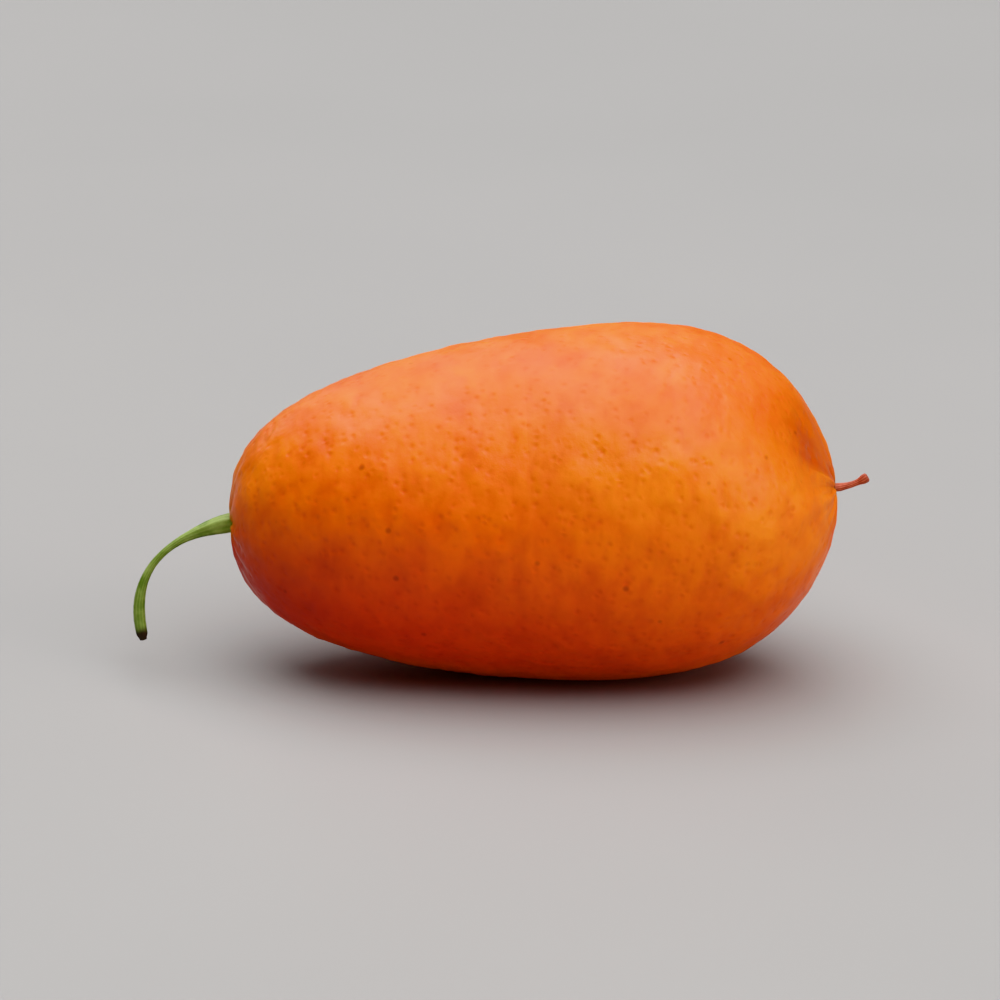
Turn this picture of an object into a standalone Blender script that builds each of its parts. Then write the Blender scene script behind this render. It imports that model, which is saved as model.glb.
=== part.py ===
"""A ripe oval kumquat as picked, lying on its side: the fruit, its green stem and the dry style at its tip.

Metres, +Z up. The fruit's long axis runs along X, with the stem end at -X and the style end at +X. The origin
is the middle of the small flat spot that the fruit rests on.
"""

import math

import bmesh
import bpy
from mathutils import Euler, Vector, geometry

# The fruit's outline
FRUIT_LENGTH = 0.0400
MID_RADIUS = 0.0115  # halfway between the two ends
END_ROUNDNESS = 0.474  # 0.5 would be an ellipse, and less is blunter
ROUNDNESS_CHANGE = 0.062  # from the middle to the style end, which is the rounder one
TAPER = 0.193  # how much slimmer the stem half is
SHOULDERS = 0.195  # how full both halves stay towards their ends

# How it lies
REST_TILT = math.radians(3.5)  # the slim stem end dips
REST_FLAT_DEPTH = 0.00022  # how far the skin is pressed in where it rests
REST_SMOOTH = 0.0075  # the skin's relief fades out this near to the rest spot

# The grid of the skin
RINGS = 56
SEGMENTS = 68

# Soft lumps: turns round the fruit, waves along it, and a phase in radians
LUMP_HEIGHT = 0.00005
LUMPS = ((2, 1, 0.4), (3, -1, 2.1), (5, 2, 4.4), (4, 3, 5.6))

# Shallow dimples all over the peel, on a grid that wanders so that no rows show
DIMPLE_DEPTH = 0.000045
DIMPLES_ROUND = 16
DIMPLES_ALONG = 13
DIMPLE_WANDER = 2.2

# Puckers that run out from both ends
PUCKERS = 13
PUCKER_DEPTH = 0.00009
PUCKER_REACH = 0.0042

# The hollow beside the style
HOLLOW_Y = -0.0034
HOLLOW_Z = 0.0034
HOLLOW_RADIUS = 0.0026
HOLLOW_DEPTH = 0.0005

# The stem, which droops from the fruit's slim end
STEM_BEND = (
    Vector((0.0, 0.0, 0.0)),
    Vector((-0.0032, 0.0, -0.0004)),
    Vector((-0.0074, 0.0003, -0.0022)),
    Vector((-0.0064, 0.0001, -0.0077)),
)
STEM_NECK = 0.00026
STEM_FLARE = 0.00046  # added where it meets the fruit
STEM_FLARE_REACH = 0.24  # a share of its length
STEM_SWELLING = 0.00018  # added near its cut end
STEM_SWELLING_PLACE = 0.90
STEM_SWELLING_REACH = 0.22
STEM_LOBES = 5
STEM_LOBE_DEPTH = 0.10  # a share of the flare's radius
STEM_SIDES = 20
STEM_STATIONS = 22

# The style, a dry thread with a small head
STYLE_LENGTH = 0.0021
STYLE_RADIUS = 0.00020
STYLE_HEAD = 0.00009  # added at its tip
STYLE_RISE = 0.0006  # how far its tip curls up
STYLE_SIDES = 10
STYLE_STATIONS = 12

# The two sockets in the fruit
SOCKET_GAP = 0.0003
STEM_ROOT = 0.0012
STYLE_ROOT = 0.0008

# Colour and roughness
PEEL = (0.83, 0.17, 0.012), 0.42
GREEN = (0.22, 0.36, 0.07), 0.50
DRY_RED = (0.47, 0.11, 0.06), 0.65

HALF = FRUIT_LENGTH / 2
STEM_POLE = Vector((-HALF, 0.0, 0.0))
STYLE_POLE = Vector((HALF, 0.0, 0.0))
SIDEWAYS = Vector((0.0, 1.0, 0.0))


def clear_scene():
    for obj in list(bpy.data.objects):
        bpy.data.objects.remove(obj, do_unlink=True)


def finish(name, colour, roughness):
    """A plain material in a sub-part's own colour."""
    material = bpy.data.materials.new(name)
    material.use_nodes = True
    surface = material.node_tree.nodes["Principled BSDF"]
    surface.inputs["Base Color"].default_value = (*colour, 1.0)
    surface.inputs["Roughness"].default_value = roughness
    surface.inputs["Metallic"].default_value = 0.0
    return material


def smooth_step(low, high, value):
    share = min(max((value - low) / (high - low), 0.0), 1.0)
    return share * share * (3 - 2 * share)


def fading(distance, reach):
    """1 at distance 0, falling smoothly and almost gone at twice the reach."""
    return math.exp(-((distance / reach) ** 2))


def skin_point(angle, around):
    """A point of the smooth outline. angle runs from 0 at the stem end's pole to pi at the style end's."""
    along = -math.cos(angle)
    roundness = END_ROUNDNESS + ROUNDNESS_CHANGE * along
    radius = MID_RADIUS * math.sin(angle) ** (2 * roundness) * (1 + TAPER * along + SHOULDERS * along**2)
    return Vector((along * HALF, radius * math.sin(around), radius * math.cos(around)))


def angle_to_reach(end, radius):
    """How far from an end's pole, in radians, the outline is this wide. end is -1 or 1."""
    full = MID_RADIUS * (1 + TAPER * end + SHOULDERS)
    return math.asin((radius / full) ** (0.5 / (END_ROUNDNESS + ROUNDNESS_CHANGE * end)))


def resting_place():
    """Where the fruit's middle goes, so that its lowest point is pressed into the floor at the origin."""
    tilt = Euler((0.0, -REST_TILT, 0.0))
    steps = 2000
    keel = (skin_point(math.pi * step / steps, math.pi) for step in range(1, steps))
    lowest = min((tilt.to_matrix() @ point for point in keel), key=lambda point: point.z)
    return Vector((-lowest.x, 0.0, -lowest.z - REST_FLAT_DEPTH)), tilt


def lumps(angle, around):
    waves = (math.sin(turns * around + 2 * along * angle + phase) for turns, along, phase in LUMPS)
    return LUMP_HEIGHT * sum(waves)


def dimples(angle, around):
    across = math.sin(DIMPLES_ROUND * around + DIMPLE_WANDER * math.sin(5 * angle))
    lengthwise = math.sin(DIMPLES_ALONG * 2 * angle + DIMPLE_WANDER * math.sin(3 * around))
    return DIMPLE_DEPTH * across * lengthwise


def puckers(around, reach):
    """Folds that run out from a pole, at a distance of reach from the fruit's axis."""
    folds = math.cos(PUCKERS * around + 2 * math.sin(3 * around))
    return PUCKER_DEPTH * folds * fading(reach, PUCKER_REACH) * smooth_step(0, PUCKER_REACH / 4, reach)


def relief(angle, around, point, rest_point):
    """How far the skin stands out of its smooth outline at a point, in metres."""
    swell = (lumps(angle, around) + dimples(angle, around)) * math.sin(angle)
    folds = puckers(around, math.hypot(point.y, point.z))
    fade = smooth_step(REST_SMOOTH / 2, REST_SMOOTH, (point - rest_point).length)
    hollow = 0.0
    if point.x > 0:
        distance = math.hypot(point.y - HOLLOW_Y, point.z - HOLLOW_Z)
        hollow = HOLLOW_DEPTH * fading(distance, HOLLOW_RADIUS)
    return (swell + folds) * fade - hollow


def circle(centre, radius, sides):
    turns = (2 * math.pi * side / sides for side in range(sides))
    return [centre + Vector((0.0, radius * math.sin(turn), radius * math.cos(turn))) for turn in turns]


def closed_mesh(rings):
    """A closed bmesh through rings of points, where a ring of one point closes an end."""
    bm = bmesh.new()
    rows = [[bm.verts.new(point) for point in ring] for ring in rings]
    for near, far in zip(rows, rows[1:]):
        sides = max(len(near), len(far))
        for side in range(sides):
            after = (side + 1) % sides
            corners = [near[side % len(near)], near[after % len(near)]]
            corners += [far[after % len(far)], far[side % len(far)]]
            bm.faces.new(dict.fromkeys(corners))
    bmesh.ops.recalc_face_normals(bm, faces=bm.faces)
    bm.normal_update()
    return bm, rows


def add_object(name, bm, material, parent):
    mesh = bpy.data.meshes.new(name)
    bm.to_mesh(mesh)
    bm.free()
    mesh.materials.append(material)
    mesh.shade_smooth()
    mesh.set_sharp_from_angle(angle=math.radians(50))
    obj = bpy.data.objects.new(name, mesh)
    bpy.context.scene.collection.objects.link(obj)
    obj.parent = parent


def press_flat(bm, rest_point, up):
    """Cut off what would be under the floor, and close the cut with one flat face."""
    everything = bm.verts[:] + bm.edges[:] + bm.faces[:]
    cut = bmesh.ops.bisect_plane(bm, geom=everything, plane_co=rest_point, plane_no=up, clear_inner=True)
    rim = [item for item in cut["geom_cut"] if isinstance(item, bmesh.types.BMEdge)]
    bmesh.ops.holes_fill(bm, edges=rim, sides=len(rim))
    bmesh.ops.recalc_face_normals(bm, faces=bm.faces)


def build_fruit(parent, middle, tilt):
    """The fruit, one solid: the skin with its relief, a socket at each end and the flat it rests on."""
    stem_socket = STEM_NECK + STEM_FLARE + SOCKET_GAP
    style_socket = STYLE_RADIUS + SOCKET_GAP
    first = angle_to_reach(-1, stem_socket)
    last = math.pi - angle_to_reach(1, style_socket)
    angles = [first + (last - first) * ring / (RINGS - 1) for ring in range(RINGS)]
    turns = [2 * math.pi * side / SEGMENTS for side in range(SEGMENTS)]
    skin = [[skin_point(angle, turn) for turn in turns] for angle in angles]
    stem_floor = STEM_POLE + Vector((STEM_ROOT + SOCKET_GAP, 0.0, 0.0))
    style_floor = STYLE_POLE - Vector((HOLLOW_DEPTH + STYLE_ROOT + SOCKET_GAP, 0.0, 0.0))
    stem_end = [[stem_floor], circle(stem_floor, stem_socket, SEGMENTS)]
    style_end = [circle(style_floor, style_socket, SEGMENTS), [style_floor]]
    bm, rows = closed_mesh(stem_end + skin + style_end)

    to_own = tilt.to_matrix().inverted()
    rest_point = to_own @ -middle
    for angle, row in zip(angles, rows[2:-2]):
        for turn, vert in zip(turns, row):
            vert.co += vert.normal * relief(angle, turn, vert.co, rest_point)
    press_flat(bm, rest_point, to_own @ Vector((0.0, 0.0, 1.0)))
    add_object("fruit", bm, finish("peel", *PEEL), parent)


def tube_rings(points, radii, sides, share=lambda index, turn: 1.0):
    """Rings along a path that bends up or down, each square to it. share scales the radius at a turn."""
    rings = []
    for index, (point, radius) in enumerate(zip(points, radii)):
        ahead = points[min(index + 1, len(points) - 1)]
        behind = points[max(index - 1, 0)]
        upward = (ahead - behind).cross(SIDEWAYS).normalized()
        ring = []
        for side in range(sides):
            turn = 2 * math.pi * side / sides
            across = SIDEWAYS * math.sin(turn) + upward * math.cos(turn)
            ring.append(point + across * radius * share(index, turn))
        rings.append(ring)
    return rings


def build_stem(parent):
    """The stem: a lobed flare on the fruit, a thin neck that droops, and a swelling before its cut end."""
    path = geometry.interpolate_bezier(*(STEM_POLE + corner for corner in STEM_BEND), STEM_STATIONS)
    root = STEM_POLE + Vector((STEM_ROOT, 0.0, 0.0))
    points = [root, root.lerp(STEM_POLE, 0.5), *path]
    radii = []
    for station in range(-2, STEM_STATIONS):
        place = max(station, 0) / (STEM_STATIONS - 1)
        flare = STEM_FLARE * fading(place, STEM_FLARE_REACH)
        swelling = STEM_SWELLING * fading(place - STEM_SWELLING_PLACE, STEM_SWELLING_REACH)
        radii.append(STEM_NECK + flare + swelling)

    def lobes(index, turn):
        fade = fading(max(index - 2, 0) / STEM_STATIONS, STEM_FLARE_REACH)
        return 1 - STEM_LOBE_DEPTH * fade * (0.5 - 0.5 * math.cos(STEM_LOBES * turn))

    rings = tube_rings(points, radii, STEM_SIDES, lobes)
    bm, _ = closed_mesh([[points[0]], *rings, [points[-1]]])
    add_object("stem", bm, finish("stem_green", *GREEN), parent)


def build_style(parent):
    """The style: a thin dry thread that stands out of the fruit's other end, with a small head."""
    foot = STYLE_POLE - Vector((HOLLOW_DEPTH + STYLE_ROOT, 0.0, 0.0))
    tip = STYLE_POLE + Vector((STYLE_LENGTH, 0.0, 0.0))
    points = []
    radii = []
    for station in range(STYLE_STATIONS):
        place = station / (STYLE_STATIONS - 1)
        point = foot.lerp(tip, place)
        point.z += STYLE_RISE * (max(point.x - HALF, 0.0) / STYLE_LENGTH) ** 2
        points.append(point)
        radii.append(STYLE_RADIUS + STYLE_HEAD * smooth_step(0.7, 0.9, place))
    radii[-1] = STYLE_RADIUS
    bm, _ = closed_mesh([[points[0]], *tube_rings(points, radii, STYLE_SIDES), [points[-1]]])
    add_object("style", bm, finish("dry_style", *DRY_RED), parent)


def main():
    clear_scene()
    middle, tilt = resting_place()
    axis = bpy.data.objects.new("fruit_axis", None)
    axis.location = middle
    axis.rotation_euler = tilt
    bpy.context.scene.collection.objects.link(axis)
    build_fruit(axis, middle, tilt)
    build_stem(axis)
    build_style(axis)


main()
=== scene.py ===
# %% [markdown]
# # A kumquat, lying as it was picked
#
# The fruit is about as long as a thumb's top joint, so everything here is in metres with many zeros. Three
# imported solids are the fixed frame: the fruit, its green stem and the dry style at its tip. They have the
# right shape and place, but no skin. Each gets a finer piece that stands for it, grown by Geometry Nodes
# from a rule, and a material made of nodes. The frame is loaded first and its box is kept, to show later
# that nothing grew.

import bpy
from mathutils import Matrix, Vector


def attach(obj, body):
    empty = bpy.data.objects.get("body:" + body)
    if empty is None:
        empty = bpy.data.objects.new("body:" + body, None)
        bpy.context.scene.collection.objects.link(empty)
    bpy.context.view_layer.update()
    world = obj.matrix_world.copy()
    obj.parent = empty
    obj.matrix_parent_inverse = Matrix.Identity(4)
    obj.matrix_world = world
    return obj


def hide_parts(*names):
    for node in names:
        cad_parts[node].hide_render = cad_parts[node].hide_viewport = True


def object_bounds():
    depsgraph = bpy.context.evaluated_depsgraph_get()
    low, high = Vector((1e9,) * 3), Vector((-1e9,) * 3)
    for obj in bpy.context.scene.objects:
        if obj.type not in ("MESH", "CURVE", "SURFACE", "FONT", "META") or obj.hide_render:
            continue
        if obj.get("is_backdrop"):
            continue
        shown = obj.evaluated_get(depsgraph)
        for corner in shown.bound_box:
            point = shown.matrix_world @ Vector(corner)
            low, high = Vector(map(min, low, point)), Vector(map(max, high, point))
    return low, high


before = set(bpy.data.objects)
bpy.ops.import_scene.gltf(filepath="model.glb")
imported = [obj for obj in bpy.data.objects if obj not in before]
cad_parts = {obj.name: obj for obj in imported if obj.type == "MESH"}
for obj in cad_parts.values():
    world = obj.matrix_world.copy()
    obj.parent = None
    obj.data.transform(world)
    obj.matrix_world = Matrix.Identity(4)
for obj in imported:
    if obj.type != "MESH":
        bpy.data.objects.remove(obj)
cad_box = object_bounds()
print("solids:", ", ".join(sorted(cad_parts)))

# %% [markdown]
# ## Writing node maths as plain sums
#
# A node tree is a sum drawn as boxes, and twenty boxes are hard to read. A small class can wrap a node's
# socket, so that Python's own signs add the Math nodes. The same lines then work on numbers and on sockets,
# in a geometry tree and in a material. Sums of colours and vectors go through their own nodes, because a
# Math node would turn a colour grey.

# %% A socket that can be added, multiplied and raised to a power
import math

import bpy
from mathutils import Euler, Vector, bvhtree

COLUMN = 180  # how far apart the nodes are drawn


class Value:
    """A socket that Python's signs can reckon with. Each sign adds one Math node."""

    def __init__(self, graph, socket):
        self.graph = graph
        self.socket = socket

    def __add__(self, other):
        return self.graph.maths("ADD", self, other)

    def __sub__(self, other):
        return self.graph.maths("SUBTRACT", self, other)

    def __rsub__(self, other):
        return self.graph.maths("SUBTRACT", other, self)

    def __mul__(self, other):
        return self.graph.maths("MULTIPLY", self, other)

    def __truediv__(self, other):
        return self.graph.maths("DIVIDE", self, other)

    def __rtruediv__(self, other):
        return self.graph.maths("DIVIDE", other, self)

    def __pow__(self, other):
        return self.graph.maths("POWER", self, other)

    def __neg__(self):
        return self.graph.maths("MULTIPLY", self, -1.0)

    __radd__ = __add__
    __rmul__ = __mul__


# %% [markdown]
# A tree also needs its other nodes: textures, mixes, meshes. One method makes any of them. The settings
# come first, because they can change which sockets a node has, and then the sockets' values or links.

# %% A node tree under construction
class Graph:
    """A geometry or shader tree that grows by one node at a time."""

    def __init__(self, tree):
        self.tree = tree

    def node(self, kind, settings=None, values=None, output=0):
        made = self.tree.nodes.new(kind)
        made.location.x = COLUMN * len(self.tree.nodes)
        for name, setting in (settings or {}).items():
            setattr(made, name, setting)
        for name, value in (values or {}).items():
            self.feed(made.inputs[name], value)
        return Value(self, made.outputs[output])

    def feed(self, socket, value):
        if isinstance(value, Value):
            self.tree.links.new(value.socket, socket)
        else:
            socket.default_value = value

    def maths(self, operation, *values):
        return self.node("ShaderNodeMath", {"operation": operation}, dict(enumerate(values)))

    def vectors(self, operation, *values, output=0):
        return self.node("ShaderNodeVectorMath", {"operation": operation}, dict(enumerate(values)), output)

    def join(self, x, y, z):
        return self.node("ShaderNodeCombineXYZ", None, {"X": x, "Y": y, "Z": z})

    def split(self, vector):
        first = self.node("ShaderNodeSeparateXYZ", None, {"Vector": vector})
        return [Value(self, socket) for socket in first.socket.node.outputs]

    def climb(self, value, low, high, bottom=0.0, top=1.0):
        """A smooth climb from bottom to top as the value goes from low to high."""
        ends = {"Value": value, "From Min": low, "From Max": high, "To Min": bottom, "To Max": top}
        return self.node("ShaderNodeMapRange", {"interpolation_type": "SMOOTHSTEP"}, ends)

    def fading(self, distance, reach):
        """1 at distance 0, falling smoothly and almost gone at twice the reach."""
        share = distance / reach
        return self.maths("EXPONENT", -(share * share))

    def noise(self, place, scale, detail=2.0):
        """Soft noise around 0.5, scale to a metre."""
        return self.node("ShaderNodeTexNoise", None, {"Vector": place, "Scale": scale, "Detail": detail})

    def swing(self, place, scale, detail=2.0):
        """The same noise, spread out to run from about -1 to 1."""
        return (self.noise(place, scale, detail) - 0.5) * 4

    def cells(self, place, scale, output="Distance"):
        """Cells around scattered seeds, scale to a metre: the distance to the nearest, or its own colour."""
        return self.node("ShaderNodeTexVoronoi", None, {"Vector": place, "Scale": scale}, output)

    def blend(self, share, below, above, kind="MIX"):
        """A colour between two, where share goes from 0 to 1."""
        settings = {"data_type": "RGBA", "blend_type": kind, "clamp_factor": True}
        return self.node("ShaderNodeMix", settings, {0: share, 6: below, 7: above}, 2)

    def shade(self, share, colour, tint):
        """The colour multiplied by a tint, as much as share says."""
        return self.blend(share, colour, tint, "MULTIPLY")


# %% [markdown]
# ## The fruit's outline is one formula
#
# A ripe oval kumquat is an ellipse of revolution gone slightly pear-shaped: slim at the stem, full past its
# middle, and rounder at the tip. It could be modelled from a sphere with proportional editing, but a rule
# keeps it exactly like the solid that it stands for. The rule is written once, and serves twice: on
# numbers, to find how the fruit lies, and on sockets, to grow its skin.

# %% The outline, on numbers or on sockets
OUTLINE = {
    "Length": 0.0400,
    "Middle Radius": 0.0115,
    "End Roundness": 0.474,
    "Roundness Change": 0.062,
    "Taper": 0.193,
    "Shoulders": 0.195,
}


def outline_radius(size, along, slimness):
    """The radius where along is -1 at the stem, 1 at the tip. slimness is 1 midway and 0 at both poles."""
    roundness = size["End Roundness"] + size["Roundness Change"] * along
    fullness = 1 + size["Taper"] * along + size["Shoulders"] * along * along
    return size["Middle Radius"] * slimness ** (2 * roundness) * fullness


half = OUTLINE["Length"] / 2
widest = max(outline_radius(OUTLINE, x / 100, math.sqrt(1 - (x / 100) ** 2)) for x in range(100))
print(f"the fruit is {OUTLINE['Length'] * 1000:.0f} mm long and {widest * 2000:.1f} mm across")

# %% [markdown]
# ## How it lies
#
# A kumquat on a table rolls until its heavy end is down, and the slim stem end dips a few degrees. Its
# lowest point, pressed in by a fifth of a millimetre, is the frame's origin. A short search along the keel
# finds it.

# %% Tilt it and set it down
REST_TILT = math.radians(3.5)
REST_FLAT_DEPTH = 0.00022
KEEL_STEPS = 2000

tilt = Euler((0.0, -REST_TILT, 0.0))
keel = []
for step in range(1, KEEL_STEPS):
    angle = math.pi * step / KEEL_STEPS
    depth = outline_radius(OUTLINE, -math.cos(angle), math.sin(angle))
    keel.append(tilt.to_matrix() @ Vector((-math.cos(angle) * half, 0.0, -depth)))
lowest = min(keel, key=lambda point: point.z)
middle = Vector((-lowest.x, 0.0, -lowest.z - REST_FLAT_DEPTH))
rest_point = tilt.to_matrix().inverted() @ -middle
print(f"its middle is {middle.z * 1000:.2f} mm up, and {-middle.x * 1000:.2f} mm towards the stem")

# %% [markdown]
# ## A workshop for Geometry Nodes
#
# Each tree gets named inputs, so that its sizes can be read and changed in the modifier. The values are set
# by the socket's identifier, before the object is looked at for the first time. The result is then kept as
# a plain mesh, because the modifier's instances and attributes live only as long as it does.

# %% Open a tree, and run it into a plain mesh
SOCKET_KINDS = {float: "NodeSocketFloat", tuple: "NodeSocketVector"}


def open_tree(name, sizes):
    """A geometry tree with one named input for each size."""
    tree = bpy.data.node_groups.new(name, "GeometryNodeTree")
    tree.interface.new_socket(name="Geometry", in_out="OUTPUT", socket_type="NodeSocketGeometry")
    for label, size in sizes.items():
        tree.interface.new_socket(name=label, in_out="INPUT", socket_type=SOCKET_KINDS[type(size)])
    graph = Graph(tree)
    entry = tree.nodes.new("NodeGroupInput")
    return graph, {label: Value(graph, entry.outputs[label]) for label in sizes}


def close_tree(graph, shape):
    """End the tree in Realize Instances and Set Material, with the material as its last input."""
    material = graph.tree.interface.new_socket(
        name="Material", in_out="INPUT", socket_type="NodeSocketMaterial"
    )
    entry = graph.tree.nodes.new("NodeGroupInput")
    plain = graph.node("GeometryNodeRealizeInstances", None, {"Geometry": shape})
    clad = graph.node("GeometryNodeSetMaterial", None, {"Geometry": plain})
    graph.tree.links.new(entry.outputs[material.name], clad.socket.node.inputs["Material"])
    way_out = graph.tree.nodes.new("NodeGroupOutput")
    graph.tree.links.new(clad.socket, way_out.inputs["Geometry"])


def grow(name, tree, sizes, material):
    """Run a tree once, and keep what it makes as a plain mesh object."""
    maker = bpy.data.objects.new(name + "_maker", bpy.data.meshes.new(name + "_maker"))
    bpy.context.scene.collection.objects.link(maker)
    modifier = maker.modifiers.new("grow", "NODES")
    modifier.node_group = tree
    for socket in tree.interface.items_tree:
        if socket.in_out == "INPUT":
            modifier[socket.identifier] = {**sizes, "Material": material}[socket.name]
    evaluated = maker.evaluated_get(bpy.context.evaluated_depsgraph_get())
    mesh = bpy.data.meshes.new_from_object(evaluated)
    bpy.data.objects.remove(maker)
    piece = bpy.data.objects.new(name, mesh)
    bpy.context.scene.collection.objects.link(piece)
    mesh.calc_loop_triangles()
    print(f"{name}: {len(mesh.loop_triangles)} triangles")
    return piece


# %% [markdown]
# ## The relief of the peel
#
# Citrus peel is never smooth. Soft lumps follow the segments inside, shallow dimples and dents cover all of
# it, and fine creases run round the fruit where it has begun to soften. Both ends are drawn in by puckers.
# Beside the style there is a hollow, with a wide shallow groove across it, and streaks run to the style
# from all sides. Every one of these is a term that is added to the skin's height, in metres. Lumps,
# dimples, puckers and hollow stand where the solid has them too, so the two keep the same form.

# %% Sizes of the relief
RELIEF = {
    "Lump Height": 0.00005,
    "Dimple Depth": 0.000024,
    "Pucker Depth": 0.00009,
    "Hollow Depth": 0.00038,
    "Groove Depth": 0.00012,
    "Crease Depth": 0.000045,
    "Dent Depth": 0.00005,
    "Streak Depth": 0.000042,
}
LUMPS = ((2, 1, 0.4), (3, -1, 2.1), (5, 2, 4.4), (4, 3, 5.6))  # turns round, waves along, phase in radians
DIMPLES_ROUND = 16
DIMPLES_ALONG = 13
DIMPLE_WANDER = 2.2
DIMPLE_WANDER_WAVES = 5
DIMPLE_WANDER_TURNS = 3
PUCKERS = 13
PUCKER_REACH = 0.0042
PUCKER_WANDER = 2
PUCKER_WANDER_TURNS = 3
HOLLOW_PLACE = (-0.0034, 0.0034)  # sideways and upwards from the fruit's axis
HOLLOW_RADIUS = 0.0026
REST_SMOOTH = 0.0075
CREASE_WIDTH = 0.0008
CREASE_LENGTH = 0.0016
DENT_WIDTH = 0.0022
STREAKS = 4.5
STREAK_REACH = 0.0070
TIP_REACH = 0.0060
GROOVE_SIDE = -0.0030
GROOVE_TURNS = 0.0030
GROOVE_START = (-0.0012, 0.0014)
GROOVE_END = (0.0125, 0.0035)
GROOVE_WIDTH = 0.0023
GROOVE_SPREAD = 0.50
GROOVE_FRAY = 0.0021


# %% [markdown]
# The terms read the point's own place: its angle from the stem's pole, its turn round the axis, and its
# distance from that axis. Waves with a whole number of turns meet themselves at the seam.

# %% Soft lumps and wandering dimples
def lumps(graph, angle, turn):
    total = 0.0
    for turns, waves, phase in LUMPS:
        total = graph.maths("SINE", turns * turn + 2 * waves * angle + phase) + total
    return total


def dimples(graph, angle, turn):
    sideways = DIMPLE_WANDER * graph.maths("SINE", DIMPLE_WANDER_WAVES * angle)
    across = graph.maths("SINE", DIMPLES_ROUND * turn + sideways)
    lengthwise = DIMPLE_WANDER * graph.maths("SINE", DIMPLE_WANDER_TURNS * turn)
    return across * graph.maths("SINE", 2 * DIMPLES_ALONG * angle + lengthwise)


# %% Puckers at the poles and the hollow beside the style
def puckers(graph, turn, reach):
    wander = PUCKER_WANDER * graph.maths("SINE", PUCKER_WANDER_TURNS * turn)
    folds = graph.maths("COSINE", PUCKERS * turn + wander)
    return folds * graph.fading(reach, PUCKER_REACH) * graph.climb(reach, 0.0, PUCKER_REACH / 4)


def hollow(graph, x, y, z):
    sideways = y - HOLLOW_PLACE[0]
    upwards = z - HOLLOW_PLACE[1]
    distance = graph.maths("SQRT", sideways * sideways + upwards * upwards)
    return graph.fading(distance, HOLLOW_RADIUS) * graph.maths("GREATER_THAN", x, 0.0)


def groove(graph, x, y, z, streak):
    """1 along a wide shallow groove that runs up from the style, frayed by the streaks beside it."""
    middle_line = graph.climb(z, 0.0, GROOVE_TURNS, top=GROOVE_SIDE) + GROOVE_FRAY * streak
    width = GROOVE_WIDTH + GROOVE_SPREAD * graph.maths("MAXIMUM", z, 0.0)
    length = graph.climb(z, *GROOVE_START) * graph.climb(z, *GROOVE_END)
    return graph.fading(y - middle_line, width) * length * graph.maths("GREATER_THAN", x, 0.0)


# %% Creases round the fruit, and streaks towards the style
def creases(graph, place):
    """Noise that is stretched round the fruit, from about -1 to 1."""
    finer = (1 / CREASE_WIDTH, 1 / CREASE_LENGTH, 1 / CREASE_LENGTH)
    return graph.swing(graph.vectors("MULTIPLY", place, finer), 1.0, detail=2.5)


def streaks(graph, x, y, z, reach):
    """Noise that runs along the fruit towards the style, from about -1 to 1, and only near it."""
    outwards = graph.join(y / reach * STREAKS, z / reach * STREAKS, reach / STREAK_REACH)
    near = graph.fading(reach, STREAK_REACH) * graph.climb(reach, 0.0, STREAK_REACH / 6)
    return graph.swing(outwards, 1.0) * near * graph.maths("GREATER_THAN", x, 0.0)


# %% [markdown]
# ## The peel
#
# The skin starts as a flat grid: one way runs from pole to pole, the other once round. Bending it by the
# outline formula makes a closed skin, and merging by distance sews the seam and the poles. Only then is the
# relief added along the normals, because a normal needs a closed surface. Last, the fruit is tilted and set
# down, and what would be under the table is pressed flat. The creases and streaks are also stored as
# attributes, so that the colour can follow the same marks later.

# %% The peel's tree
RINGS = 250
SEGMENTS = 380
SEW_DISTANCE = 0.000001

PEEL_SIZES = {**OUTLINE, **RELIEF, "Tilt": (0.0, -REST_TILT, 0.0), "Middle": tuple(middle)}
graph, size = open_tree("peel_by_rule", PEEL_SIZES)

grid_size = {"Size X": 1.0, "Size Y": 1.0, "Vertices X": RINGS, "Vertices Y": SEGMENTS + 1}
grid = graph.node("GeometryNodeMeshGrid", None, grid_size)
across_grid, up_grid, _ = graph.split(graph.node("GeometryNodeInputPosition"))
angle = (across_grid + 0.5) * math.pi
turn = (up_grid + 0.5) * (2 * math.pi)
along = -graph.maths("COSINE", angle)
slimness = graph.maths("MAXIMUM", graph.maths("SINE", angle), 0.0)
radius = outline_radius(size, along, slimness)
bent = graph.join(
    along * size["Length"] / 2, radius * graph.maths("SINE", turn), radius * graph.maths("COSINE", turn)
)
skin = graph.node("GeometryNodeSetPosition", None, {"Geometry": grid, "Position": bent})
sewn = graph.node("GeometryNodeMergeByDistance", None, {"Geometry": skin, "Distance": SEW_DISTANCE})
print("the smooth skin takes", len(graph.tree.nodes), "nodes")

# %% Add the relief along the normals
place = graph.node("GeometryNodeInputPosition")
x, y, z = graph.split(place)
along = graph.maths("MAXIMUM", graph.maths("MINIMUM", x / (size["Length"] / 2), 1.0), -1.0)
angle = graph.maths("ARCCOSINE", -along)
turn = graph.maths("ARCTAN2", y, z)
reach = graph.maths("SQRT", y * y + z * z)
to_rest = graph.vectors("DISTANCE", place, tuple(rest_point), output="Value")
fade = graph.climb(to_rest, REST_SMOOTH / 2, REST_SMOOTH)
crease = creases(graph, place)
streak = streaks(graph, x, y, z, reach)
dent = graph.swing(place, 1 / DENT_WIDTH)

swell = size["Lump Height"] * lumps(graph, angle, turn) + size["Dimple Depth"] * dimples(graph, angle, turn)
swell = swell * graph.maths("SINE", angle) + size["Pucker Depth"] * puckers(graph, turn, reach)
fine = size["Crease Depth"] * crease + size["Dent Depth"] * dent + size["Streak Depth"] * streak
height = (swell + fine) * fade - size["Hollow Depth"] * hollow(graph, x, y, z)
height = height - size["Groove Depth"] * groove(graph, x, y, z, streak)
offset = graph.vectors("MULTIPLY", graph.node("GeometryNodeInputNormal"), graph.join(height, height, height))

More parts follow.
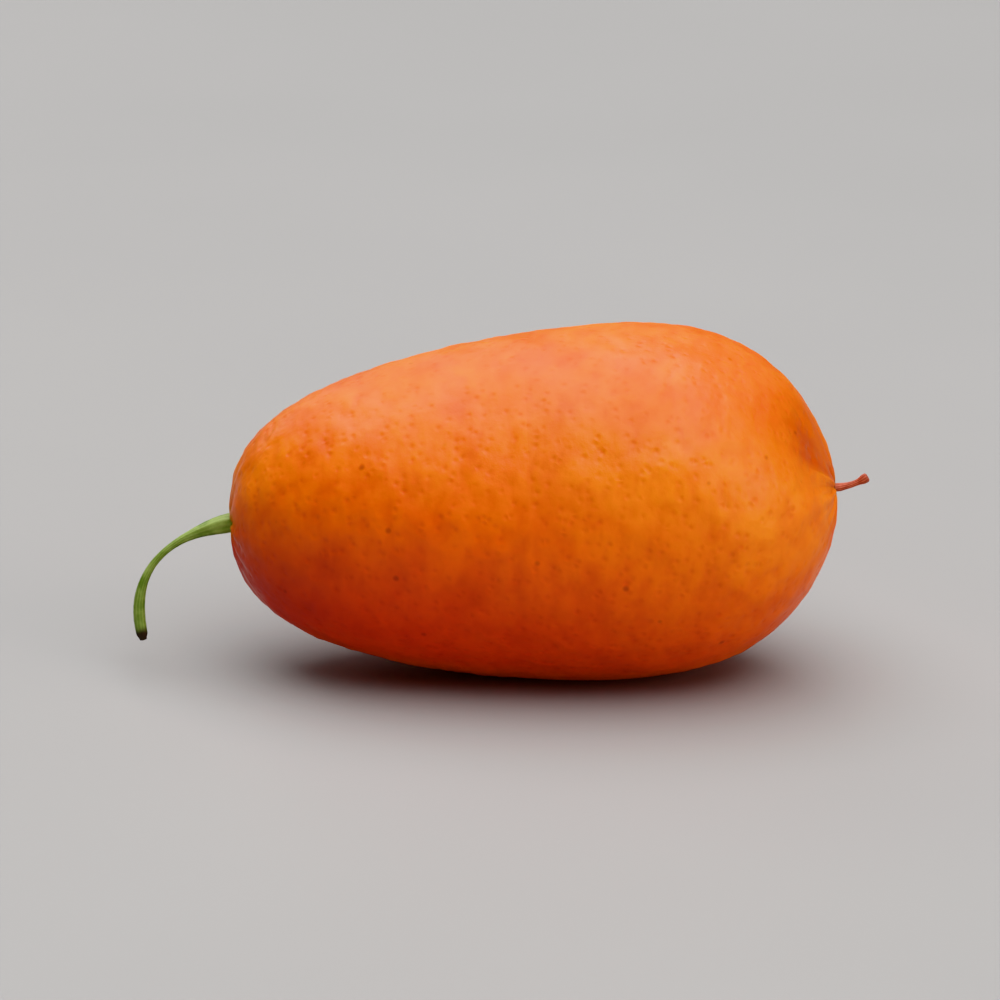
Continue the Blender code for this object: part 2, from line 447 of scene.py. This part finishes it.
marked = sewn
for label, mark in (("crease", crease), ("streak", streak)):
    values = {"Geometry": marked, "Name": label, "Value": mark}
    marked = graph.node("GeometryNodeStoreNamedAttribute", None, values)
carved = graph.node("GeometryNodeSetPosition", None, {"Geometry": marked, "Offset": offset})

# %% Set it down on its flat spot
def lay_down(graph, shape, size):
    """Turn and move a shape from the fruit's own frame to where the fruit lies."""
    placing = {"Geometry": shape, "Rotation": size["Tilt"], "Translation": size["Middle"]}
    return graph.node("GeometryNodeTransform", None, placing)


laid = lay_down(graph, carved, size)
x, y, z = graph.split(graph.node("GeometryNodeInputPosition"))
above_table = graph.join(x, y, graph.maths("MAXIMUM", z, 0.0))
pressed = graph.node("GeometryNodeSetPosition", None, {"Geometry": laid, "Position": above_table})
smooth = graph.node("GeometryNodeSetShadeSmooth", None, {"Geometry": pressed, "Shade Smooth": True})
close_tree(graph, smooth)
peel_tree = graph.tree
print("the whole peel takes", len(peel_tree.nodes), "nodes")

# %% [markdown]
# ## Opening a material
#
# A node material starts with one Principled shader. What is the same all over is set on the shader's own
# sockets, and only what changes over the surface is linked. Patterns read the Object coordinates, and a
# Mapping node turns them back into the fruit's own frame, with its axis along X, so that they sit on the
# fruit and not on the table.

# %% Open a material in the fruit's own frame
def open_material(name, **constants):
    """A material, its graph and its shader, whose sockets with one value all over are set."""
    material = bpy.data.materials.new(name)
    material.use_nodes = True
    surface = material.node_tree.nodes["Principled BSDF"]
    for label, value in constants.items():
        surface.inputs[label.replace("_", " ")].default_value = value
    return material, Graph(material.node_tree), surface


def own_place(graph):
    seen = graph.node("ShaderNodeTexCoord", output="Object")
    turned = {"Vector": seen, "Location": middle, "Rotation": tilt}
    return graph.node("ShaderNodeMapping", {"vector_type": "TEXTURE"}, turned)


def stored(graph, label):
    return graph.node("ShaderNodeAttribute", {"attribute_name": label}, output="Fac")


def paint(red, green, blue):
    return (red, green, blue, 1.0)


# %% [markdown]
# ## The colour of ripe peel
#
# Ripe peel is a saturated orange, and light goes a little way into it. It isn't one colour. The lower sides
# and the stem end carry painted shade, a deep red where the light falls off, and the belly less of it. Broad
# patches are riper than others, each gland and blotch shows as a deeper mark, and the creases' grooves carry
# painted shade. A photograph could be wrapped round the fruit instead, but the pattern then ends at its
# seam.
# Masks that are added in the order in which they lie on the fruit keep it even all round. The dark marks are
# tints that multiply what is below them, so they stay orange on orange and red on red.
#
# The oil glands are finer than the mesh, so they are cells in the material: a mask for the dots in the
# colour, and a height for the pits in the bump.

# %% Broad patches, painted shade below and in the creases, and glands
GLAND_SPACING = 0.00072
GLAND_RADIUS = 0.00019
RIPE = paint(0.91, 0.222, 0.004)
YELLOWER = paint(0.94, 0.271, 0.005)
# a deeper tint: the own tone of blotches, glands and mottle, and painted shade in the creases
DEEPER_TONE_AND_CREASE_SHADE = paint(0.79, 0.42, 0.50)
# painted shade: the deep red of the lower side, where the light falls off
UNDERSIDE_SHADE_RED = paint(0.88, 0.041, 0.001)
# painted shade: a darker tint on the stem end's lower side
STEM_END_PAINTED_SHADE = paint(0.68, 0.55, 0.60)
UNDERSIDE_SHADE_ENDS = (-0.8, 0.8)
UNDERSIDE_SHADE_ROUND_POLE = 0.0010
UNDERSIDE_SHADE_TO_STEM = 0.50
UNDERSIDE_SHADE_FROM_TIP = 0.32
UNDERSIDE_SHADE_WANDER = 0.35
# less painted shade on the belly, where light comes up from the floor
BELLY_SHADE_ENDS = (0.72, 1.0)
BELLY_LESS_SHADE = 0.45
PATCH = 0.011
BLOTCH = 0.0032
MOTTLE = 0.0005
PATCH_ENDS = (0.36, 0.66)  # no mark where the noise is below the first, a full one above the second
BLOTCH_ENDS = (0.40, 0.66)
MOTTLE_ENDS = (0.35, 0.75)
# painted shade in the creases' grooves
CREASE_SHADE_ENDS = (0.4, -1.0)
STEM_END_SHADE_ENDS = (-0.30, -1.0)  # along the fruit, where its middle is 0 and the stem's pole -1
DEEPER_SHARES = {"blotch": 0.36, "crease": 0.36, "gland": 0.27, "mottle": 0.11}


def glands(graph, place):
    """1 in the middle of each gland, and 0 between them."""
    distance = graph.cells(place, 1 / GLAND_SPACING) * GLAND_SPACING
    return graph.fading(distance, GLAND_RADIUS)


def underside_shade(graph, place, x, z, reach):
    """Where painted shade goes: 1 below and towards the stem, and 0 above and at the tip."""
    along = x / half
    downwards = -z / (reach + UNDERSIDE_SHADE_ROUND_POLE)
    wander = (graph.noise(place, 1 / PATCH) - 0.5) * UNDERSIDE_SHADE_WANDER
    share = graph.climb(downwards - along * (UNDERSIDE_SHADE_TO_STEM + UNDERSIDE_SHADE_FROM_TIP * along) + wander, *UNDERSIDE_SHADE_ENDS)
    return share * graph.climb(downwards, *BELLY_SHADE_ENDS, bottom=1.0, top=1.0 - BELLY_LESS_SHADE)


def ripe_colour(graph, place, x, z, reach, crease, gland):
    patches = graph.climb(graph.noise(place, 1 / PATCH, detail=3.0), *PATCH_ENDS)
    marks = {
        "blotch": graph.climb(graph.noise(place, 1 / BLOTCH), *BLOTCH_ENDS),
        # painted shade in the grooves of the creases
        "crease": graph.climb(crease, *CREASE_SHADE_ENDS),
        "gland": gland,
        "mottle": graph.climb(graph.noise(place, 1 / MOTTLE), *MOTTLE_ENDS),
    }
    colour = graph.blend(patches, RIPE, YELLOWER)
    # painted shade: the lower side turns deep red, more so towards the stem
    underside_shaded = underside_shade(graph, place, x, z, reach)
    colour = graph.blend(underside_shaded, colour, UNDERSIDE_SHADE_RED)
    # more painted shade where the lower side meets the stem end
    colour = graph.shade(underside_shaded * graph.climb(x / half, *STEM_END_SHADE_ENDS), colour, STEM_END_PAINTED_SHADE)
    for name, mark in marks.items():
        colour = graph.shade(mark * DEEPER_SHARES[name], colour, DEEPER_TONE_AND_CREASE_SHADE)
    return colour


# %% [markdown]
# Both ends differ from the rest. At the tip the groove carries painted shade, a dark orange, frayed by the
# streaks that run to the style, whose furrows carry painted shade too. A small brown scar lies round the
# style's foot. At the stem a faint green ring stays. A few tiny dark specks are scattered over the fruit,
# and no two are equally dark.

# %% Ends, painted shade at the tip, scars and specks
# painted shade in the hollow's groove beside the style and in the streaks' furrows
TIP_PAINTED_SHADE = paint(0.57, 0.076, 0.001)
SCAR = paint(0.17, 0.030, 0.008)
GREEN_RING = paint(0.42, 0.30, 0.02)
STREAK_SHADE_ENDS = (0.0, -0.6)
STREAK_SHADE_SHARE = 0.52
GROOVE_SHADE_SHARE = 0.90
GROOVE_SHADE_FRAY = 0.50
SCAR_ENDS = (0.00075, 0.00035)  # from the axis: where the scar starts, and where it is full
GREEN_RING_ENDS = (0.0019, 0.0007)
GREEN_RING_SHARE = 0.55
SPECK_SPACING = 0.0019
SPECK_RADIUS = 0.00019
SPECK_SMALLEST = 0.7
SPECK_CORE = 0.3
SPECK_CHANCE = 0.30
SPECK_FAINTEST = 0.10
SPECK_STRONGER = 0.50
SPECK_BROWN = paint(0.36, 0.15, 0.20)


def tip_colour(graph, colour, x, y, z, reach):
    at_tip = graph.maths("GREATER_THAN", x, 0.0)
    streak = stored(graph, "streak")
    # painted shade in the furrows of the streaks
    streak_shade = graph.climb(streak, *STREAK_SHADE_ENDS) * graph.fading(reach, TIP_REACH) * STREAK_SHADE_SHARE
    colour = graph.blend(streak_shade, colour, TIP_PAINTED_SHADE)
    # painted shade along the groove, frayed by the streaks
    groove_shade = groove(graph, x, y, z, streak) * (GROOVE_SHADE_SHARE - GROOVE_SHADE_FRAY * streak)
    colour = graph.blend(groove_shade, colour, TIP_PAINTED_SHADE)
    return graph.blend(graph.climb(reach, *SCAR_ENDS) * at_tip, colour, SCAR)


def stem_end_colour(graph, colour, x, reach):
    at_stem = graph.maths("LESS_THAN", x, 0.0)
    return graph.blend(graph.climb(reach, *GREEN_RING_ENDS) * at_stem * GREEN_RING_SHARE, colour, GREEN_RING)


def specked_colour(graph, colour, place):
    chance, strength, _ = graph.split(graph.cells(place, 1 / SPECK_SPACING, "Color"))
    distance = graph.cells(place, 1 / SPECK_SPACING) * SPECK_SPACING
    specks = graph.climb(distance, SPECK_RADIUS * (SPECK_SMALLEST + strength), SPECK_CORE * SPECK_RADIUS)
    specks = specks * graph.maths("LESS_THAN", chance, SPECK_CHANCE)
    return graph.shade(specks * (SPECK_FAINTEST + SPECK_STRONGER * strength), colour, SPECK_BROWN)


# %% [markdown]
# Ripe peel is waxy, but not evenly so: where it was handled the bloom is rubbed off and it shines, and
# elsewhere it is duller. One gloss all over looks like plastic, so patches of bloom, the grain and the
# glands each add a little roughness. The pits of the glands and the finest grain then go into a Bump.

# %% Put the peel's material together
PEEL_GLOSS = 0.31
GRAIN_SCALE = 4200
GRAIN_ROUGHER = 0.10
GLAND_ROUGHER = 0.06
BLOOM = 0.0045
BLOOM_ENDS = (0.36, 0.64)
BLOOM_ROUGHER = 0.15
GRAIN_HEIGHT = 0.35  # as a share of a gland's depth
PIT_DEPTH = 0.00004


def make_peel():
    material, graph, surface = open_material(
        "ripe_peel",
        Specular_IOR_Level=0.44,
        Subsurface_Weight=0.25,
        Subsurface_Radius=(1.0, 0.25, 0.08),
        Subsurface_Scale=0.0025,
    )
    place = own_place(graph)
    x, y, z = graph.split(place)
    reach = graph.maths("SQRT", y * y + z * z)
    crease = stored(graph, "crease")
    gland = glands(graph, place)
    colour = ripe_colour(graph, place, x, z, reach, crease, gland)
    colour = tip_colour(graph, colour, x, y, z, reach)
    colour = stem_end_colour(graph, colour, x, reach)
    graph.feed(surface.inputs["Base Color"], specked_colour(graph, colour, place))
    grain = graph.noise(place, GRAIN_SCALE, detail=3.0)
    bloom = graph.climb(graph.noise(place, 1 / BLOOM), *BLOOM_ENDS)
    roughness = PEEL_GLOSS + GRAIN_ROUGHER * grain + GLAND_ROUGHER * gland + BLOOM_ROUGHER * bloom
    graph.feed(surface.inputs["Roughness"], roughness)
    height = GRAIN_HEIGHT * grain - gland
    bump = graph.node("ShaderNodeBump", None, {"Strength": 0.9, "Distance": PIT_DEPTH, "Height": height})
    graph.feed(surface.inputs["Normal"], bump)
    return material


peel = grow("peel", peel_tree, PEEL_SIZES, make_peel())

# %% [markdown]
# ## A thread along a bend
#
# The stem and the style are the same thing at two sizes: a thin round body that follows a bend, wider at
# its foot and near its end. A curve with a bevel would give the bend, but not the ridges. One tree grows
# both: a line is bent along four corners, given its radius by a rule, swept with a circle, and ridged along
# its length.

# %% Sizes of the stem and the style
STEM_SIZES = {
    "Foot": (-half, 0.0, 0.0),
    "Foot Handle": (-half - 0.0032, 0.0, -0.0004),
    "End Handle": (-half - 0.0074, 0.0003, -0.0022),
    "End": (-half - 0.0064, 0.0001, -0.0077),
    "Root": 0.12,
    "Neck": 0.00021,
    "Flare": 0.00046,
    "Flare Reach": 0.24,
    "Swelling": 0.00018,
    "Swelling Place": 0.90,
    "Swelling Reach": 0.22,
    "Lobe Depth": 0.00007,
    "Ridge Depth": 0.000013,
    "Grain": 0.000014,
    "Tilt": PEEL_SIZES["Tilt"],
    "Middle": PEEL_SIZES["Middle"],
}
STYLE_SIZES = {
    **STEM_SIZES,
    "Foot": (half, 0.0, 0.0),
    "Foot Handle": (half + 0.0007, 0.0, 0.0),
    "End Handle": (half + 0.0014, 0.0, 0.0002),
    "End": (half + 0.0021, 0.0, 0.0006),
    "Root": 0.6,
    "Neck": 0.00019,
    "Flare": 0.00008,
    "Flare Reach": 0.30,
    "Swelling": 0.00012,
    "Swelling Place": 0.92,
    "Swelling Reach": 0.16,
    "Lobe Depth": 0.0,
    "Ridge Depth": 0.000016,
    "Grain": 0.000020,
}
STATIONS = 150
SIDES = 48
LOBES = 5
RIDGES = 11
RIDGE_WANDER = 5
RIDGE_TWIST = 4
WANDER_SCALE = 600
THREAD_GRAIN_SCALE = 3500
RIM = (0.975, 1.0)  # the last of the length, where the end rounds off
RIM_RADIUS = 0.62


# %% The bend and the radius
def bend(graph, share, corners):
    """The Bezier curve of four corners. A share below 0 lies before its start, on the same bend."""
    left = 1 - share
    weights = (left * left * left, 3 * left * left * share, 3 * left * share * share, share * share * share)
    total = (0.0, 0.0, 0.0)
    for weight, corner in zip(weights, corners):
        total = graph.vectors("MULTIPLY_ADD", corner, graph.join(weight, weight, weight), total)
    return total


def thread_radius(graph, size, share):
    above = graph.maths("MAXIMUM", share, 0.0)
    flare = size["Flare"] * graph.fading(above, size["Flare Reach"])
    swelling = size["Swelling"] * graph.fading(above - size["Swelling Place"], size["Swelling Reach"])
    rim = graph.climb(above, *RIM, bottom=1.0, top=RIM_RADIUS)
    return (size["Neck"] + flare + swelling) * rim


# %% The thread's tree
graph, size = open_tree("thread_along_a_bend", STEM_SIZES)
line = graph.node("GeometryNodeCurvePrimitiveLine", None, {"End": (1.0, 0.0, 0.0)})
stations = graph.node("GeometryNodeResampleCurve", {"mode": "COUNT"}, {"Curve": line, "Count": STATIONS})
factor = graph.node("GeometryNodeSplineParameter")
share = factor * (1 + size["Root"]) - size["Root"]
marked = graph.node(
    "GeometryNodeStoreNamedAttribute", None, {"Geometry": stations, "Name": "share", "Value": share}
)
share = graph.node("GeometryNodeInputNamedAttribute", {"data_type": "FLOAT"}, {"Name": "share"})
corners = [size["Foot"], size["Foot Handle"], size["End Handle"], size["End"]]
path = graph.node(
    "GeometryNodeSetPosition", None, {"Geometry": marked, "Position": bend(graph, share, corners)}
)
circle = graph.node("GeometryNodeCurvePrimitiveCircle", None, {"Resolution": SIDES, "Radius": 1.0})
turned = {"Geometry": circle, "Name": "turn", "Value": factor * (2 * math.pi)}
profile = graph.node("GeometryNodeStoreNamedAttribute", None, turned)
thickness = thread_radius(graph, size, share)
sweep = {"Curve": path, "Profile Curve": profile, "Scale": thickness, "Fill Caps": True}
swept = graph.node("GeometryNodeCurveToMesh", None, sweep)
print("the swept thread takes", len(graph.tree.nodes), "nodes")

# %% Lobes at the foot, ridges along it
turn = graph.node("GeometryNodeInputNamedAttribute", {"data_type": "FLOAT"}, {"Name": "turn"})
place = graph.node("GeometryNodeInputPosition")
wander = graph.noise(place, WANDER_SCALE)
lobe = 0.5 - 0.5 * graph.maths("COSINE", LOBES * turn)
at_foot = graph.fading(graph.maths("MAXIMUM", share, 0.0), size["Flare Reach"])
ridge = graph.maths("SINE", RIDGES * turn + RIDGE_WANDER * wander + RIDGE_TWIST * share)
grain = graph.noise(place, THREAD_GRAIN_SCALE) - 0.5
height = size["Ridge Depth"] * ridge + 2 * size["Grain"] * grain - size["Lobe Depth"] * lobe * at_foot
kept_ridge = {"Geometry": swept, "Name": "ridge", "Value": ridge}
ridged = graph.node("GeometryNodeStoreNamedAttribute", None, kept_ridge)
offset = graph.vectors("MULTIPLY", graph.node("GeometryNodeInputNormal"), graph.join(height, height, height))
carved = graph.node("GeometryNodeSetPosition", None, {"Geometry": ridged, "Offset": offset})
laid = lay_down(graph, carved, size)
close_tree(graph, graph.node("GeometryNodeSetShadeSmooth", None, {"Geometry": laid, "Shade Smooth": True}))
thread_tree = graph.tree
print("the whole thread takes", len(thread_tree.nodes), "nodes")

# %% [markdown]
# ## Green stem, dry style
#
# The stem is fresh and green, paler on its ridges, and brown where it was cut. The style is what is left of
# the flower: dry, thin and reddish, and darkest at its head. Both read the share of their length and the
# ridges that the tree stored, so the colour changes where the shape does.

# %% The stem's material
YOUNG_GREEN = paint(0.33, 0.43, 0.115)
OLD_GREEN = paint(0.125, 0.215, 0.028)
CUT = paint(0.030, 0.016, 0.008)
STEM_BLOTCH_SCALE = 900
FIBRE_SCALE = 6000
FIBRE_DEPTH = 0.00003
PALE_ON_RIDGES = 0.12
PALE_IN_BLOTCHES = 1.8
PALE_ENDS = (0.50, 1.25)
CUT_ENDS = (0.955, 1.0)
CUT_WANDER = 0.05
STEM_ROUGHNESS = 0.42
STEM_ROUGHER = 0.22


def make_green():
    material, graph, surface = open_material(
        "green_stem", Subsurface_Weight=0.10, Subsurface_Radius=(0.4, 0.5, 0.1), Subsurface_Scale=0.0004
    )
    place = own_place(graph)
    share = stored(graph, "share")
    ridge = stored(graph, "ridge")
    blotches = graph.noise(place, STEM_BLOTCH_SCALE, detail=3.0)
    pale = graph.climb(PALE_ON_RIDGES * ridge + PALE_IN_BLOTCHES * blotches, *PALE_ENDS)
    colour = graph.blend(pale, OLD_GREEN, YOUNG_GREEN)
    colour = graph.blend(graph.climb(share + CUT_WANDER * blotches, *CUT_ENDS), colour, CUT)
    graph.feed(surface.inputs["Base Color"], colour)
    graph.feed(surface.inputs["Roughness"], STEM_ROUGHNESS + STEM_ROUGHER * blotches)
    fibres = graph.noise(place, FIBRE_SCALE)
    bump = graph.node("ShaderNodeBump", None, {"Strength": 0.6, "Distance": FIBRE_DEPTH, "Height": fibres})
    graph.feed(surface.inputs["Normal"], bump)
    return material


# %% The style's material, and both pieces
DRY_RED = paint(0.60, 0.170, 0.100)
DRY_DARK = paint(0.33, 0.068, 0.040)
STYLE_BLOTCH_SCALE = 3000
WRINKLE_DEPTH = 0.00003
RED_ON_RIDGES = 0.25
RED_ENDS = (0.2, 0.8)
HEAD_ENDS = (0.80, 1.0)
HEAD_DARKER = 0.45
STYLE_ROUGHNESS = 0.55
STYLE_ROUGHER = 0.25


def make_dry():
    material, graph, surface = open_material("dry_style", Specular_IOR_Level=0.35)
    place = own_place(graph)
    blotches = graph.noise(place, STYLE_BLOTCH_SCALE, detail=3.0)
    red = graph.climb(RED_ON_RIDGES * stored(graph, "ridge") + blotches, *RED_ENDS)
    colour = graph.blend(red, DRY_DARK, DRY_RED)
    at_head = graph.climb(stored(graph, "share"), *HEAD_ENDS) * HEAD_DARKER
    graph.feed(surface.inputs["Base Color"], graph.blend(at_head, colour, DRY_DARK))
    graph.feed(surface.inputs["Roughness"], STYLE_ROUGHNESS + STYLE_ROUGHER * blotches)
    wrinkles = {"Strength": 0.7, "Distance": WRINKLE_DEPTH, "Height": blotches}
    graph.feed(surface.inputs["Normal"], graph.node("ShaderNodeBump", None, wrinkles))
    return material


stem = grow("stem_with_flare", thread_tree, STEM_SIZES, make_green())
style = grow("style_thread", thread_tree, STYLE_SIZES, make_dry())

# %% [markdown]
# ## Do the pieces stand where the solids are?
#
# A piece that replaces a solid has to keep its place and form. The distance from each of its points to the
# solid's surface tells how well it does, and the sign of its volume tells whether its faces point outwards.
# One distance is large on purpose. The fruit's solid has a round socket for the stem's root, two millimetres
# across, and the peel closes over it, so the peel's pole is nearly a millimetre from the socket's rim.

# %% Measure each piece against its solid
PIECES = {"fruit": peel, "stem": stem, "style": style}


def surface_of(mesh):
    corners = [vertex.co for vertex in mesh.vertices]
    return bvhtree.BVHTree.FromPolygons(corners, [polygon.vertices for polygon in mesh.polygons])


def volume_of(mesh):
    mesh.calc_loop_triangles()
    points = mesh.vertices
    corners = ([points[index].co for index in triangle.vertices] for triangle in mesh.loop_triangles)
    return sum(a.dot(b.cross(c)) for a, b, c in corners) / 6


for node, piece in PIECES.items():
    solid = surface_of(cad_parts[node].data)
    gaps = sorted(1000 * solid.find_nearest(vertex.co)[3] for vertex in piece.data.vertices)
    volume = volume_of(piece.data) * 1e6
    print(f"{piece.name}: {volume:.4f} cm3, half of it within {gaps[len(gaps) // 2]:.2f} mm of {node}")
    print(f"  and all of it within {gaps[-1]:.2f} mm")

# %% [markdown]
# ## Hand the pieces to the frame
#
# Nothing here moves, so all three ride on the one body, and each hides the solid that it stands for.

# %% Ride and replace
for node, piece in PIECES.items():
    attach(piece, "root")
    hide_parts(node)

# %% [markdown]
# ## Floor, light and camera
#
# The fruit lies on a plain pale surface. A wide panel overhead gives nearly all of the light, and the soft
# sheen along the top. A pale wall behind it lifts the far edge, a window low on the right lights the tip,
# and the sky is dim, so that the shadow stays dark under the fruit. A small lamp would put a hard spot on
# the peel, which waxy peel shows only under the sun. The neutral view transform keeps a bright orange as
# saturated as it is; the usual one would turn it greyish.

# %% A plain pale floor
FLOOR_SIZE = 6.0
FLOOR_COLOURS = paint(0.355, 0.346, 0.340), paint(0.385, 0.376, 0.370)
FLOOR_CLOUD_SCALE = 14
FLOOR_ROUGHNESS = 0.62
FLOOR_ROUGHER = 0.1


def make_floor():
    material, graph, surface = open_material("pale_floor", Specular_IOR_Level=0.3)
    seen = graph.node("ShaderNodeTexCoord", output="Object")
    cloud = graph.noise(seen, FLOOR_CLOUD_SCALE, detail=3.0)
    graph.feed(surface.inputs["Base Color"], graph.blend(cloud, *FLOOR_COLOURS))
    graph.feed(surface.inputs["Roughness"], FLOOR_ROUGHNESS + FLOOR_ROUGHER * cloud)
    return material


corner = FLOOR_SIZE / 2
floor_mesh = bpy.data.meshes.new("floor")
floor_corners = [(x * corner, y * corner, 0.0) for x, y in ((-1, -1), (1, -1), (1, 1), (-1, 1))]
floor_mesh.from_pydata(floor_corners, [], [(0, 1, 2, 3)])
floor_mesh.materials.append(make_floor())
floor = bpy.data.objects.new("floor", floor_mesh)
bpy.context.scene.collection.objects.link(floor)
floor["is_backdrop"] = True

# %% A panel overhead, a wall, a window and a dim sky
LIGHTS = {
    "ceiling": ((0.06, -0.10, 0.90), (1.15, 1.9), 20.2),
    "back_wall": ((-0.40, 0.78, 0.60), (0.8, 0.8), 2.5),
    "window": ((0.85, -0.40, 0.20), (0.6, 0.6), 3.4),
}
SKY = paint(0.96, 0.97, 1.00)
SKY_STRENGTH = 0.065

for name, (spot, (width, depth), watts) in LIGHTS.items():
    light = bpy.data.lights.new(name, "AREA")
    light.shape = "RECTANGLE"
    light.size = width
    light.size_y = depth
    light.energy = watts
    lamp = bpy.data.objects.new(name, light)
    lamp.location = spot
    lamp.rotation_euler = (-Vector(spot)).to_track_quat("-Z", "Y").to_euler()
    lamp.visible_camera = False
    bpy.context.scene.collection.objects.link(lamp)

world = bpy.data.worlds.new("dull_sky")
world.use_nodes = True
sky = world.node_tree.nodes["Background"]
sky.inputs["Color"].default_value = SKY
sky.inputs["Strength"].default_value = SKY_STRENGTH
bpy.context.scene.world = world
bpy.context.scene.view_settings.view_transform = "Khronos PBR Neutral"

# %% [markdown]
# The camera looks square to the fruit's axis and 16 degrees down, from half a metre away. A long lens fills
# the frame from there, where a wide one from nearer would swell the fruit's middle.

# %% The camera
ELEVATION = math.radians(16)
DISTANCE = 0.504
FRAME_WIDTH = 0.066

low, high = (Vector(end) for end in cad_box)
target = (low + high) / 2
camera = bpy.data.cameras.new("camera")
camera.lens = camera.sensor_width * DISTANCE / FRAME_WIDTH
camera.clip_start = 0.01
viewer = bpy.data.objects.new("camera", camera)
viewer.location = target + DISTANCE * Vector((0.0, -math.cos(ELEVATION), math.sin(ELEVATION)))
viewer.rotation_euler = (target - viewer.location).to_track_quat("-Z", "Y").to_euler()
bpy.context.scene.collection.objects.link(viewer)
bpy.context.scene.camera = viewer
print(f"a {camera.lens:.0f} mm lens, {DISTANCE} m away")

# %% [markdown]
# ## Did anything grow?
#
# The box of the dressed fruit has to stay that of the solids, within a fraction of a millimetre. Both boxes
# are set side by side, and how far each corner moved is printed.

boxes = {"cad": [list(end) for end in cad_box], "visual": [list(end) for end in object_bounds()]}
for side, old, new in zip(("low", "high"), *boxes.values()):
    print(side, "corner moved by, in mm:", [round(1000 * (b - a), 2) for a, b in zip(old, new)])
